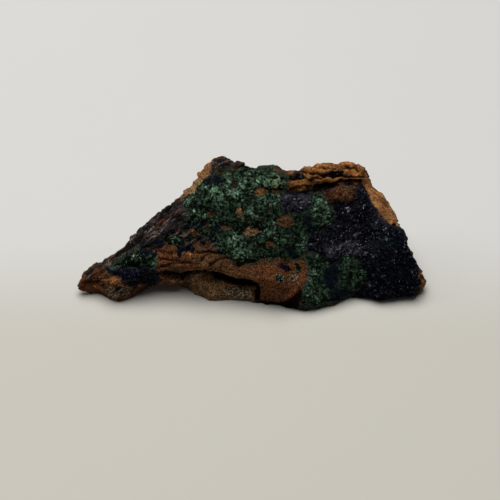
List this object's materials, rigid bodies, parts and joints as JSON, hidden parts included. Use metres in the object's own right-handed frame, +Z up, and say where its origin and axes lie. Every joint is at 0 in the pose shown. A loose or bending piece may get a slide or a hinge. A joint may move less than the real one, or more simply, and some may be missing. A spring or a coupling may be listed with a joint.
{
  "type": "azurite specimen",
  "caption": "Loose mineral hand specimen: a wedge of limonite with azurite druse and malachite crusts on its leaning display face. Lies on its underside.",
  "frame": {"origin": "centre of the bounding box at the surface that the rock lies on", "axes": "+X along the rock's length, from the narrow nose to the blunt end; +Y to its back, so that the display face leans back from -Y; +Z up"},
  "size_m": [0.0991, 0.0366, 0.0308],
  "materials": {
    "limonite": "rough, earthy brown iron oxide with ochre and near-black patches",
    "azurite": "sparkling druse of near-black blue crystals about half a millimetre long",
    "malachite": "velvety dark green tufts and nodules"
  },
  "bodies": {
    "root": {"limonite_matrix": "limonite", "azurite_crust": "azurite", "azurite_patch_middle": "azurite", "azurite_patch_left": "azurite", "malachite_crust": "malachite", "malachite_crust_lower": "malachite", "malachite_patch_left": "malachite"}
  },
  "joints": []
}
